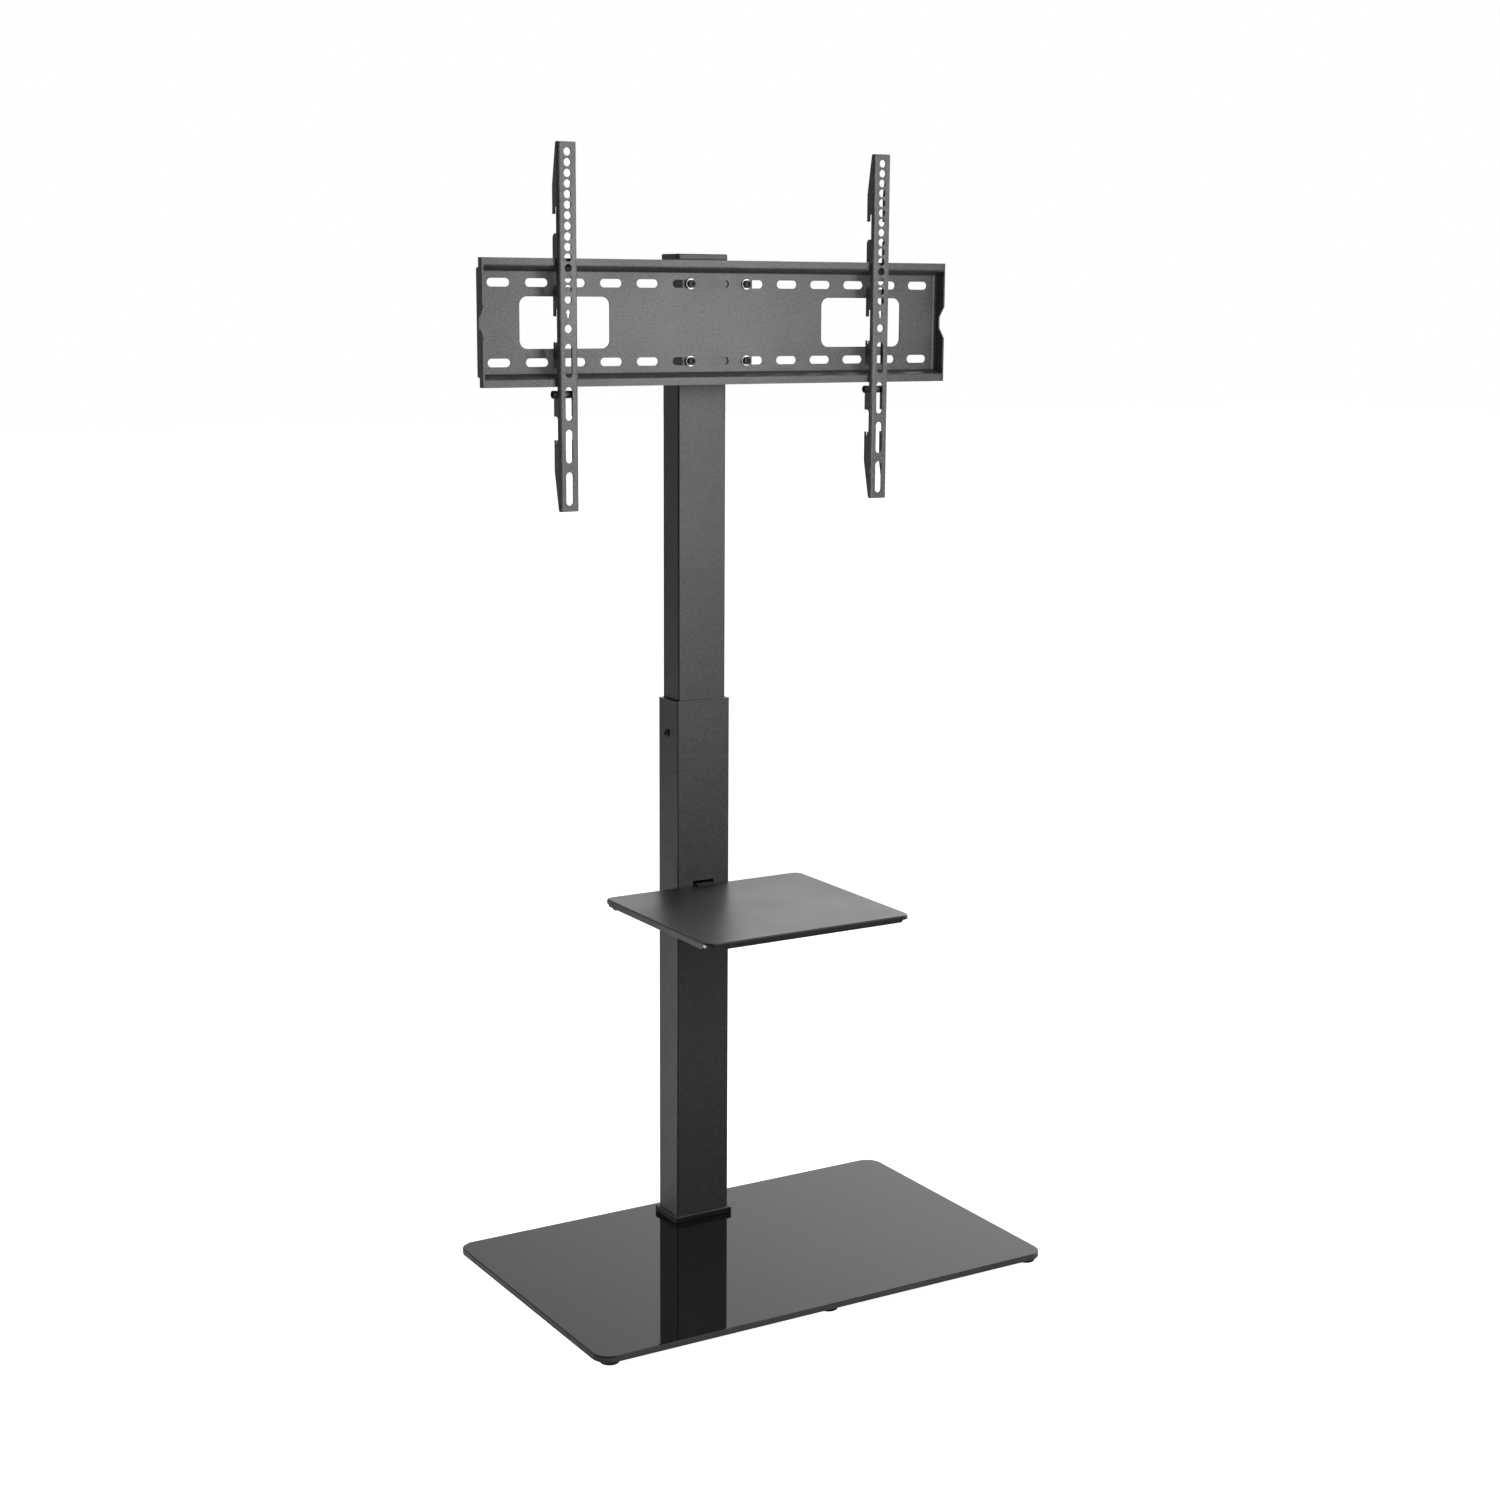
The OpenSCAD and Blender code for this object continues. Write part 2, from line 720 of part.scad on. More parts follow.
// Flat top with its folded edges, about the shelf's middle
module shelf_tray() {
    w_in = shelf_w - 2 * shelf_r;
    d_in = shelf_d - 2 * shelf_r;
    translate([0, 0, -shelf_t]) linear_extrude(shelf_t)
        round_rect(
            shelf_w - 2 * shelf_bend, shelf_d - 2 * shelf_bend, shelf_r - shelf_bend
        );
    for (a = [0, 1], b = [0, 1]) mirror([a, 0, 0]) mirror([0, b, 0])
        translate([w_in / 2, d_in / 2, 0]) shelf_corner();
    translate([0, -shelf_d / 2, 0])
        shelf_edge(w_in, shelf_edge_h) slanted_edge(w_in, shelf_edge_h);
    for (s = [-1, 1])
        translate([s * shelf_w / 2, 0, 0]) rotate([0, 0, s * 90])
            shelf_edge(d_in, shelf_edge_h) slanted_edge(d_in, shelf_edge_h);
    translate([0, shelf_d / 2, 0]) rotate([0, 0, 180])
        shelf_edge(w_in, shelf_back_h) rounded_edge(w_in, shelf_back_h);
}

module shelf() {
    root = hook_ramp + hook_flat;
    color("#3f4042") difference() {
        union() {
            difference() {
                translate([0, column_front - shelf_d / 2, shelf_z]) shelf_tray();
                translate([
                    -hook_w / 2 - hook_relief, column_front - root,
                    shelf_z - shelf_bend
                ])
                    cube([hook_w + 2 * hook_relief, root + cut, shelf_bend + cut]);
            }
            shelf_hook();
        }
        at_shelf_screws(column_front - shelf_t - cut)
            cylinder(h = shelf_t + 2 * cut, r = shelf_screw_d / 2 + screw_fit);
        for (s = [-1, 1])
            translate([
                -shelf_w / 2 - cut, column_front - tie_hole_y + s * tie_hole_pitch / 2,
                shelf_z - tie_hole_low
            ])
                rotate([0, 90, 0]) cylinder(h = shelf_t + 2 * cut, d = tie_hole_d);
    }
}

module shelf_screws() {
    color("#2c2d2f") at_shelf_screws(column_front - shelf_t)
        socket_screw(
            shelf_head_d / 2, shelf_head_h, shelf_screw_d / 2,
            shelf_t + lower_wall + collar_depth
        );
}

module upper_tube() {
    color("#55565a") translate([0, column_y, mast_z])
        box_tube(upper_w, upper_d, upper_wall, upper_r, upper_len);
}

module lower_glide() {
    color("#1d1d1e") translate([0, column_y, mast_z - glide_floor]) difference() {
        linear_extrude(glide_floor + glide_len)
            round_rect(
                lower_in_w - 2 * slide_fit, lower_in_d - 2 * slide_fit, lower_in_r
            );
        translate([0, 0, glide_floor]) linear_extrude(glide_len + cut)
            round_rect(upper_w + 2 * seat_fit, upper_d + 2 * seat_fit, upper_r);
        translate([0, 0, -cut]) linear_extrude(glide_floor + 2 * cut)
            round_rect(
                upper_w - 2 * upper_wall - 2 * glide_ledge,
                upper_d - 2 * upper_wall - 2 * glide_ledge, upper_r
            );
    }
}

module column_cap() {
    w = upper_w + 2 * cap_out;
    d = upper_d + 2 * cap_out;
    in_r = upper_r - upper_wall;
    color("#48494c") translate([0, column_y, mast_top]) {
        edged_slab(w, d, cap_h, upper_r + cap_out, cap_edge);
        translate([0, 0, -cap_plug]) linear_extrude(cap_plug + cap_h / 2)
            round_rect(
                upper_w - 2 * upper_wall - 2 * seat_fit,
                upper_d - 2 * upper_wall - 2 * seat_fit, in_r
            );
    }
}

module head_bracket() {
    face_back = plate_back + bracket_t;
    wall_l = column_y - upper_d / 2 + bracket_hold - face_back;
    h = bracket_wall_h / 2;
    color("#4b4c4f") difference() {
        union() {
            translate([-bracket_w / 2, plate_back, plate_z - bracket_h / 2])
                cube([bracket_w, bracket_t, bracket_h]);
            for (sx = [-1, 1])
                translate([
                    sx * (bracket_w / 2 - bracket_t / 2) - bracket_t / 2, plate_back,
                    plate_z - bracket_h / 2
                ])
                    cube([bracket_t, bracket_t + bracket_lip, bracket_h]);
            for (sx = [-1, 1])
                translate([
                    sx * (upper_w / 2 + bracket_t / 2) - bracket_t / 2,
                    plate_back + bracket_t / 2, plate_z
                ])
                    rotate([90, 0, 90]) linear_extrude(bracket_t) polygon([
                        [0, -h], [wall_l + bracket_t / 2 - bracket_slant, -h],
                        [wall_l + bracket_t / 2, -h + bracket_slant],
                        [wall_l + bracket_t / 2, h - bracket_slant],
                        [wall_l + bracket_t / 2 - bracket_slant, h], [0, h]
                    ]);
        }
        at_bolts(plate_back - cut)
            cylinder(h = bracket_t + 2 * cut, r = bolt_d / 2 + screw_fit);
    }
}

module plate_nuts() {
    color("#6a6c70") at_bolts(plate_back + bracket_t)
        hex_nut(nut_flats, nut_t, bolt_d / 2 + thread_fit);
}

module plate_bolts() {
    color("#26272a") at_bolts(web_y - washer_t)
        socket_screw(
            bolt_head_d / 2, bolt_head_h, bolt_d / 2,
            washer_t + plate_t + bracket_t + nut_t + bolt_tail
        );
}

module plate_washers() {
    color("#a3a5a8") at_bolts(web_y - washer_t)
        linear_extrude(washer_t) difference() {
            circle(d = washer_d);
            circle(r = bolt_d / 2 + screw_fit);
        }
}

// Vector turned by an angle
function turned(v, a) = [v.x * cos(a) - v.y * sin(a), v.x * sin(a) + v.y * cos(a)];

// Points of the arc of radius r that rounds corner b between a and c
function bend(a, b, c, r) =
    let (
        u = (a - b) / norm(a - b),
        v = (c - b) / norm(c - b),
        half = acos(u * v) / 2,
        mid = b + (u + v) / norm(u + v) * r / sin(half),
        from = b + u * r / tan(half) - mid,
        sweep = (cross(u, v) > 0 ? -1 : 1) * (180 - 2 * half)
    )
    [for (i = [0 : bend_steps]) mid + turned(from, sweep * i / bend_steps)];

// Points with the sign of their second value changed, in reverse order
function mirrored(p) = [for (i = [len(p) - 1 : -1 : 0]) [p[i].x, -p[i].y]];

// Cross-section of the web, its slanted flanges and its lips
module rail_section() {
    k = lip_rise / lip_ahead;
    back = -lip_ahead + plate_t;
    wide_r = plate_bend + plate_t;
    rise = plate_t * sqrt(1 + k * k);
    tip = [-lip_ahead, plate_h / 2];
    lip = [-lip_ahead, plate_h / 2 - lip_h];
    web = [0, lip.y - lip_rise];
    rear_lip = [back, web.y + rise - k * back];
    rear_web = [plate_t, web.y + rise - k * plate_t];
    front = concat(
        [tip], bend(tip, lip, web, wide_r), bend(lip, web, [0, 0], plate_bend)
    );
    rear = concat(
        bend([plate_t, 0], rear_web, rear_lip, wide_r),
        bend(rear_web, rear_lip, [back, plate_h / 2], plate_bend),
        [[back, plate_h / 2]]
    );
    polygon(concat(front, mirrored(front), mirrored(rear), rear));
}

// Outline of an end plate, front to back and bottom to top
module end_outline() {
    front = -lip_ahead - end_ahead;
    root = front + end_ear;
    half = plate_h / 2;
    polygon([
        [plate_t, -end_half], [root, -end_half], [root, -half], [front, -half],
        [front, -end_notch], [root, -end_notch_floor], [root, end_notch_floor],
        [front, end_notch], [front, half], [root, half], [root, end_half],
        [plate_t, end_half]
    ]);
}

// Plan of the round inside of the bend between web and right end plate
module end_fill() {
    r = end_bend - plate_t;
    difference() {
        translate([-r, -r]) square(r + plate_t / 2);
        translate([-r, -r]) circle(r = r);
    }
}

// Folded sheet of the mount plate before its slots, its web's face at y = 0
module plate_sheet() {
    depth = plate_t + lip_ahead + end_ahead;
    fill_h = plate_h - 2 * lip_h - 2 * lip_rise + 2 * plate_t - plate_bend;
    intersection() {
        union() {
            translate([-plate_w / 2 + plate_t / 2, 0, 0]) rotate([90, 0, 90])
                linear_extrude(plate_w - plate_t) rail_section();
            for (sx = [-1, 1])
                translate([sx * (plate_w / 2 - plate_t / 2) - plate_t / 2, 0, 0])
                    rotate([90, 0, 90]) linear_extrude(plate_t) end_outline();
            for (a = [0, 1]) mirror([a, 0, 0])
                translate([plate_w / 2 - plate_t, 0, -fill_h / 2])
                    linear_extrude(fill_h) end_fill();
        }
        translate([0, plate_t, -plate_h / 2 - cut])
            linear_extrude(plate_h + 2 * cut)
                mirror([0, 1]) front_round(plate_w, depth + cut, end_bend);
    }
}

module mount_plate() {
    color("#6c6d70") difference() {
        translate([0, web_y, plate_z]) plate_sheet();
        for (i = [-(slot_count - 1) / 2 : (slot_count - 1) / 2], sz = [-1, 1])
            translate([i * slot_pitch, plate_back + cut, plate_z + sz * row_gap / 2])
                rotate([90, 0, 0]) linear_extrude(plate_t + 2 * cut)
                    slot_shape(slot_w, slot_h);
        for (sx = [-1, 1])
            translate([sx * window_x, plate_back + cut, plate_z])
                rotate([90, 0, 0]) linear_extrude(plate_t + 2 * cut)
                    round_rect(window_w, window_h, window_r);
    }
}

// Cross-section of an arm's channel, its face at y = 0
module channel_section() {
    difference() {
        front_round(arm_w, arm_d, arm_r);
        translate([0, arm_t]) front_round(arm_w - 2 * arm_t, arm_d, arm_r - arm_t);
    }
}

// Rectangle whose two corners at y = 0 are round
module front_round(w, d, r) {
    translate([-w / 2, r]) square([w, d - r]);
    translate([-w / 2 + r, 0]) square([w - 2 * r, d]);
    for (sx = [-1, 1]) translate([sx * (w / 2 - r), r]) circle(r = r);
}

// Hook slot and the window below it, seen from the side
module hook_cut(drop, window, rounded) {
    c = hook_corner;
    past = arm_d + cut;
    translate([hook_in + c, -drop - c]) circle(r = c);
    translate([hook_in + hook_open - c, -drop - c]) circle(r = c);
    translate([hook_in + c, -drop - 2 * c]) square([hook_open - 2 * c, 2 * c]);
    translate([hook_in, -drop - window]) square([hook_open, window - c]);
    translate([hook_in, -drop - window])
        square([past - hook_in, window - hook_tongue]);
    if (rounded)
        difference() {
            translate([arm_d - shoulder_r, -drop - window - shoulder_r])
                square([shoulder_r + cut, shoulder_r + c]);
            translate([arm_d - shoulder_r, -drop - window - shoulder_r])
                circle(r = shoulder_r);
        }
}

// Recess above a rest shoulder, seen from the side
module rest_cut(drop) {
    past = arm_d + cut;
    translate([hook_in + rest_r, -drop])
        square([past - hook_in - rest_r, rest_window]);
    translate([hook_in, -drop]) square([past - hook_in, rest_window - rest_r]);
    translate([hook_in + rest_r, -drop + rest_window - rest_r]) circle(r = rest_r);
}

// Notch behind a rest shoulder's tip, seen from the side
module notch_cut(drop) {
    floor_r = rest_notch_w / 2;
    translate([arm_d - rest_tip - floor_r, -drop - rest_notch + floor_r]) {
        circle(r = floor_r);
        translate([-floor_r, 0]) square([rest_notch_w, rest_notch]);
    }
}

// Side outline of an arm, its face at x = 0 and its top at y = 0
module arm_outline() {
    difference() {
        polygon([
            [0, 0], [top_depth - top_slant, 0], [top_depth, -top_slant],
            [arm_d, -top_taper], [arm_d, -arm_len + bottom_taper],
            [bottom_depth, -arm_len + bottom_slant],
            [bottom_depth - bottom_slant, -arm_len], [0, -arm_len]
        ]);
        hook_cut(hook_first, hook_window, true);
        hook_cut(hook_first + hook_pitch, hook_window, true);
        hook_cut(
            hook_first + 2 * hook_pitch, rest_first - hook_first - 2 * hook_pitch, false
        );
        rest_cut(rest_first + rest_pitch);
        rest_cut(rest_first + 2 * rest_pitch);
        notch_cut(rest_first);
        notch_cut(rest_first + 2 * rest_pitch);
    }
}

// Openings in an arm's face, with the arm's top at y = 0
module face_openings() {
    for (i = [0 : hole_count - 1])
        translate([0, -hole_first - i * hole_pitch]) circle(d = hole_d);
    translate([0, -key_drop]) circle(d = key_d);
    translate([-key_slot_w / 2, -key_drop - key_slot_l + key_slot_w / 2])
        square([key_slot_w, key_slot_l - key_slot_w / 2]);
    translate([0, -key_drop - key_slot_l + key_slot_w / 2]) circle(d = key_slot_w);
    translate([0, -low_hole_drop]) circle(d = low_hole_d);
    for (i = [0 : arm_slot_count - 1])
        translate([0, -arm_slot_first - i * arm_slot_pitch])
            rotate(90) slot_shape(arm_slot_l, arm_slot_w);
}

module tv_arm(x) {
    color("#55565a") translate([x, arm_y, arm_top]) difference() {
        intersection() {
            translate([0, 0, -arm_len]) linear_extrude(arm_len) channel_section();
            translate([-arm_w / 2, 0, 0]) rotate([90, 0, 90])
                linear_extrude(arm_w) arm_outline();
        }
        translate([0, arm_t + cut, 0]) rotate([90, 0, 0])
            linear_extrude(arm_t + 2 * cut) face_openings();
        translate([-arm_w / 2 - cut, arm_lock_depth, -arm_lock_drop])
            rotate([0, 90, 0])
                cylinder(h = arm_w + 2 * cut, r = arm_lock_d / 2 + screw_fit);
    }
}

// Position of an arm's lock screw, with +Z of the children to the right
module at_arm_lock(x, along) {
    translate([x + along, arm_y + arm_lock_depth, arm_top - arm_lock_drop])
        rotate([0, 90, 0]) children();
}

module arm_lock_screw(x) {
    color("#2c2d2f") at_arm_lock(x, -arm_w / 2)
        socket_screw(
            arm_lock_head_d / 2, arm_lock_head_h, arm_lock_d / 2, arm_w
        );
}

module arm_lock_sleeve(x) {
    l = arm_w - 2 * arm_t - arm_nut_t - 2 * seat_fit;
    color("#1b1c1d") at_arm_lock(x, -arm_w / 2 + arm_t + seat_fit)
        linear_extrude(l) difference() {
            circle(d = arm_sleeve_d);
            circle(r = arm_lock_d / 2 + screw_fit);
        }
}

module arm_lock_nut(x) {
    color("#3a3b3e") at_arm_lock(x, arm_w / 2 - arm_t - arm_nut_t)
        hex_nut(arm_nut_flats, arm_nut_t, arm_lock_d / 2 + thread_fit);
}

module arm_left() { tv_arm(arm_shift - arm_x); }
module arm_left_lock_screw() { arm_lock_screw(arm_shift - arm_x); }
module arm_left_lock_sleeve() { arm_lock_sleeve(arm_shift - arm_x); }
module arm_left_lock_nut() { arm_lock_nut(arm_shift - arm_x); }
module arm_right() { tv_arm(arm_shift + arm_x); }
module arm_right_lock_screw() { arm_lock_screw(arm_shift + arm_x); }
module arm_right_lock_sleeve() { arm_lock_sleeve(arm_shift + arm_x); }
module arm_right_lock_nut() { arm_lock_nut(arm_shift + arm_x); }

glass_base();
base_feet();
under_pad();
under_plate();
base_screws();
glass_bushes();
base_gasket();
column_foot_plate();
foot_collar();
lower_tube();
tube_bushing();
height_lock_screw();
shelf();
shelf_screws();
upper_tube();
lower_glide();
column_cap();
head_bracket();
plate_nuts();
plate_bolts();
plate_washers();
mount_plate();
arm_left();
arm_left_lock_screw();
arm_left_lock_sleeve();
arm_left_lock_nut();
arm_right();
arm_right_lock_screw();
arm_right_lock_sleeve();
arm_right_lock_nut();
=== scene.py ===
import json
import math

import bmesh
import bpy
from mathutils import Matrix, Vector


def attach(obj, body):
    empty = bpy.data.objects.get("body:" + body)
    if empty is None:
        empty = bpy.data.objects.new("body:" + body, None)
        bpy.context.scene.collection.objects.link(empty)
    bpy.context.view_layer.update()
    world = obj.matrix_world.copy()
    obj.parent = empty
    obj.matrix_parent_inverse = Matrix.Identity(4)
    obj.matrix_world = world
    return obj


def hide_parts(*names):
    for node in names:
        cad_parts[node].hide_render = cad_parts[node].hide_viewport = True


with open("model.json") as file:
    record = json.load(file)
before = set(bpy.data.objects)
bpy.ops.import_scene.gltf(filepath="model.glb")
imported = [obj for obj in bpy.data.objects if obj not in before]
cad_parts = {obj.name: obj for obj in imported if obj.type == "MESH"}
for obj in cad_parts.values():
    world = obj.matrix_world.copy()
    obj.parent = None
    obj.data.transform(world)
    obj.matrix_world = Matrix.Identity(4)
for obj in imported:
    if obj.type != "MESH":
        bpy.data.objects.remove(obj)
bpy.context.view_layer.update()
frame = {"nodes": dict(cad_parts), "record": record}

# Camera at the photograph's viewing angle, in degrees
YAW, PITCH, ROLL = -31.005, 10.586, -0.314
# Focal length over picture width, both in the photograph's pixels
LENS_SHARE = 2426.85 / 1500
# Place of the camera, in metres, and its sensor's width, in millimetres
EYE = (-1.54224, -2.55765, 1.23063)
SENSOR = 36


def make_camera():
    """The camera, level first and then rolled by a small angle."""
    yaw, pitch, roll = (math.radians(a) for a in (YAW, PITCH, ROLL))
    level = Vector((-math.sin(yaw), math.cos(yaw), 0))
    side = Vector((math.cos(yaw), math.sin(yaw), 0))
    look = level * math.cos(pitch) - Vector((0, 0, 1)) * math.sin(pitch)
    down = -side.cross(look)
    right = side * math.cos(roll) + down * math.sin(roll)
    down = down * math.cos(roll) - side * math.sin(roll)
    data = bpy.data.cameras.new("camera")
    data.sensor_fit = "HORIZONTAL"
    data.sensor_width = SENSOR
    data.lens = SENSOR * LENS_SHARE
    ob = bpy.data.objects.new("camera", data)
    bpy.context.scene.collection.objects.link(ob)
    turn = Matrix((right, -down, -look)).transposed().to_4x4()
    ob.matrix_world = Matrix.Translation(EYE) @ turn
    bpy.context.scene.camera = ob


# ---- materials ----

class Nodes:
    """A material's node tree with short calls to fill it."""

    def __init__(self, name):
        self.mat = bpy.data.materials.new(name)
        self.mat.use_nodes = True
        self.tree = self.mat.node_tree
        self.tree.nodes.clear()
        self.out = self.add("ShaderNodeOutputMaterial")
        self.bsdf = self.add("ShaderNodeBsdfPrincipled")
        self.link(self.bsdf.outputs[0], self.out.inputs[0])
        self.place = self.add("ShaderNodeTexCoord").outputs["Object"]

    def add(self, kind, **values):
        node = self.tree.nodes.new(kind)
        for key, value in values.items():
            if key in node.inputs:
                node.inputs[key].default_value = value
            else:
                setattr(node, key, value)
        return node

    def link(self, a, b):
        self.tree.links.new(a, b)

    def stretched(self, scale):
        node = self.add("ShaderNodeMapping")
        node.inputs["Scale"].default_value = scale
        self.link(self.place, node.inputs["Vector"])
        return node.outputs[0]

    def noise(self, scale, detail=2.0, rough=0.5, at=None):
        node = self.add("ShaderNodeTexNoise", Scale=scale, Detail=detail, Roughness=rough)
        self.link(at or self.place, node.inputs["Vector"])
        return node.outputs["Fac"]

    def ramp(self, fac, stops):
        node = self.add("ShaderNodeValToRGB")
        band = node.color_ramp
        while len(band.elements) < len(stops):
            band.elements.new(0.5)
        for element, (pos, colour) in zip(band.elements, stops):
            element.position = pos
            element.color = (*colour, 1)
        self.link(fac, node.inputs[0])
        return node.outputs[0]

    def span(self, fac, low, high, start=0.0, end=1.0):
        node = self.add("ShaderNodeMapRange")
        node.inputs["From Min"].default_value = start
        node.inputs["From Max"].default_value = end
        node.inputs["To Min"].default_value = low
        node.inputs["To Max"].default_value = high
        self.link(fac, node.inputs[0])
        return node.outputs[0]

    def bump(self, height, distance, strength=1.0, normal=None):
        node = self.add("ShaderNodeBump", Distance=distance, Strength=strength)
        self.link(height, node.inputs["Height"])
        if normal is not None:
            self.link(normal, node.inputs["Normal"])
        return node.outputs[0]

    def finish(self, **sockets):
        for key, value in sockets.items():
            self.bsdf.inputs[key.replace("_", " ")].default_value = value
        return self.mat


# Powder coat: noise scales per metre, depths of the two grains in metres, and tint
FINE, COARSE, CLOUDY = 1500, 420, 9
FINE_DEEP, COARSE_DEEP = 0.00006, 0.00014
COOL = -0.01
# The part of a noise's span where most of its values lie
MIDDLE = (0.3, 0.7)
# How many times wider a plain finish's clouds are than its grain
WIDER = 30


def grey(v, warm=0.0):
    """A grey, a little red where warm is above zero and a little blue below it."""
    return (v * (1 + warm), v, v * (1 - warm))


def powder_coat(name, low, high, rough, deep, **more):
    """Fine-textured matt paint on sheet steel; deep multiplies the depth of both grains."""
    n = Nodes(name)
    grains = n.noise(FINE, detail=2.0, rough=0.6)
    orange = n.noise(COARSE, detail=3.0, rough=0.55)
    cloud = n.noise(CLOUDY, detail=3.0, rough=0.5)
    n.link(n.ramp(orange, [(0.3, grey(low, COOL)), (0.72, grey(high, COOL))]),
           n.bsdf.inputs["Base Color"])
    n.link(n.span(cloud, rough - 0.05, rough + 0.05, *MIDDLE), n.bsdf.inputs["Roughness"])
    first = n.bump(grains, FINE_DEEP * deep, strength=0.6)
    both = n.bump(orange, COARSE_DEEP * deep, strength=0.55, normal=first)
    n.link(both, n.bsdf.inputs["Normal"])
    return n.finish(**more)


def plain(name, low, high, rough, scale, bump, metal=0.0, **more):
    """An even finish with a fine grain and a slow change of tone."""
    n = Nodes(name)
    grains = n.noise(scale, detail=3.0, rough=0.6)
    cloud = n.noise(scale / WIDER, detail=2.0)
    n.link(n.ramp(cloud, [(MIDDLE[0], low), (MIDDLE[1], high)]), n.bsdf.inputs["Base Color"])
    n.link(n.span(grains, rough - 0.06, rough + 0.06, *MIDDLE), n.bsdf.inputs["Roughness"])
    n.link(n.bump(grains, bump, strength=0.5), n.bsdf.inputs["Normal"])
    return n.finish(Metallic=metal, **more)


def black_glass(name):
    """Back-painted tempered glass: deep black, a clear surface, faint smears."""
    n = Nodes(name)
    smear = n.noise(3.5, detail=4.0, rough=0.6, at=n.stretched((1, 2.2, 1)))
    wave = n.noise(2.2, detail=1.0, rough=0.4)
    n.link(n.ramp(smear, [(0.35, (0.004, 0.004, 0.005)), (0.7, (0.007, 0.007, 0.008))]),
           n.bsdf.inputs["Base Color"])
    n.link(n.span(smear, 0.015, 0.05, 0.35, 0.7), n.bsdf.inputs["Roughness"])
    n.link(n.bump(wave, 0.00012, strength=0.5), n.bsdf.inputs["Normal"])
    return n.finish(IOR=1.52)


# powder_coat: name, low and high tone, roughness, how many times deeper the grain is.
# plain: name, low and high tone, roughness, grain scale, grain depth, metal share if any.
# Both: then values for the shader's own sockets.
MATS = {
    "steel": powder_coat("powder_coat_black", 0.014, 0.036, 0.44, 2.2),
    "steel_sheet": powder_coat("powder_coat_sheet", 0.01, 0.055, 0.42, 3.5),
    # Painted light: the same black powder coat, made lighter for the arms to stand in for the
    # lamps on them
    "steel_painted_light_arm": powder_coat("powder_coat_painted_light_arm", 0.016, 0.075, 0.42, 3.0),
    # Painted shade: the same black powder coat, made darker for the tubes' front-left rounded
    # corners
    "steel_painted_shade_corner": powder_coat("powder_coat_painted_shade_corner", 0.005, 0.012, 0.5, 1.0,
                                Specular_IOR_Level=0.2),
    "shelf": powder_coat("powder_coat_shelf", 0.02, 0.034, 0.36, 0.8),
    "glass": black_glass("glass_black"),
    "glass_edge": plain("glass_ground_edge", (0.03, 0.035, 0.035), (0.045, 0.05, 0.05),
                        0.22, 900, 0.00002),
    # Painted shade: the glass's sloped rim on the near front and left sides, made darker than
    # the glass
    "rim_painted_shade_near": plain("glass_rim_painted_shade_near", grey(0.002), grey(0.004), 0.3, 900, 0.00002,
                      Specular_IOR_Level=0.15),
    "plastic": plain("moulded_plastic_black", grey(0.022), grey(0.03), 0.45, 1400, 0.00005),
    # Painted shade: the same moulded plastic, made darker for the foot collar's upright sides
    "plastic_painted_shade_side": plain("moulded_plastic_painted_shade_side", grey(0.006), grey(0.01), 0.5, 1400, 0.00004,
                          Specular_IOR_Level=0.2),
    "rubber": plain("rubber_black", grey(0.014), grey(0.022), 0.8, 1200, 0.00008),
    "nylon": plain("nylon_white", (0.72, 0.71, 0.67), (0.78, 0.77, 0.73), 0.4, 900, 0.00003),
    "bolt_black": plain("bolt_black", grey(0.006), grey(0.011), 0.5, 900, 0.00002,
                        Specular_IOR_Level=0.22),
    # Painted shade: near black on the walls of the plate's bolt slots, for the shadow round
    # each slot
    "slot_painted_shade": plain("powder_coat_slot_painted_shade", grey(0.003), grey(0.006), 0.7, 1200, 0.00004,
                      Specular_IOR_Level=0.1),
    "washer_zinc": plain("zinc_washer", grey(0.3), grey(0.4), 0.34, 700, 0.00003, 1.0),
    "dark_zinc": plain("zinc_black", grey(0.05), grey(0.09), 0.33, 700, 0.00003, 0.85),
    "bright_zinc": plain("zinc_bright", grey(0.55), grey(0.68), 0.27, 700, 0.00003, 1.0),
}


# ---- softened copies of the solids ----

# Degrees: edges that are rounded, edges that stay sharp in shading, faces taken as one
ROUNDED, SHARP, FLAT = 28.0, 32.0, 0.8
# Metres: points that are one, and the height within which a point is on a slab's top
SAME, LEVEL = 3e-6, 1e-5
# Share of a face's normal: upright walls lie below it, faces that face up lie above
WALL, UP = 0.3, 0.9
# The glass's sloped rim: width, depth, and how far in from the outline its points lie at most
RIM_WIDE, RIM_DEEP, RIM_REACH = 0.0045, 0.0008, 0.04


def applied(ob):
    """Works an object's modifiers into its mesh."""
    deps = bpy.context.evaluated_depsgraph_get()
    made = bpy.data.meshes.new_from_object(ob.evaluated_get(deps))
    ob.modifiers.clear()
    ob.data = made
    return made


def finished(ob):
    """Applies an object's modifiers and smooths it, with its flat faces kept flat."""
    made = applied(ob)
    made.polygons.foreach_set("use_smooth", [True] * len(made.polygons))
    made.set_sharp_from_angle(angle=math.radians(SHARP))
    even = ob.modifiers.new("even", "WEIGHTED_NORMAL")
    even.mode = "FACE_AREA"
    even.weight = 100
    even.keep_sharp = True
    applied(ob)


def sloped_rim(bm):
    """A narrow polished slope round the top of a slab, next to its outer edge."""
    top = max(v.co.z for v in bm.verts)
    far = [max(abs(v.co[i]) for v in bm.verts) - RIM_REACH for i in (0, 1)]
    faces = [f for f in bm.faces
             if f.normal.z > UP and f.calc_center_median().z > top - LEVEL]
    bmesh.ops.inset_region(bm, faces=faces, thickness=RIM_WIDE,
                           use_even_offset=True, use_boundary=True)
    bm.normal_update()
    rim = {v for f in bm.faces if abs(f.normal.z) < WALL
           for v in f.verts if v.co.z > top - LEVEL}
    for v in rim:
        if abs(v.co.x) > far[0] or abs(v.co.y) > far[1]:
            v.co.z -= RIM_DEEP


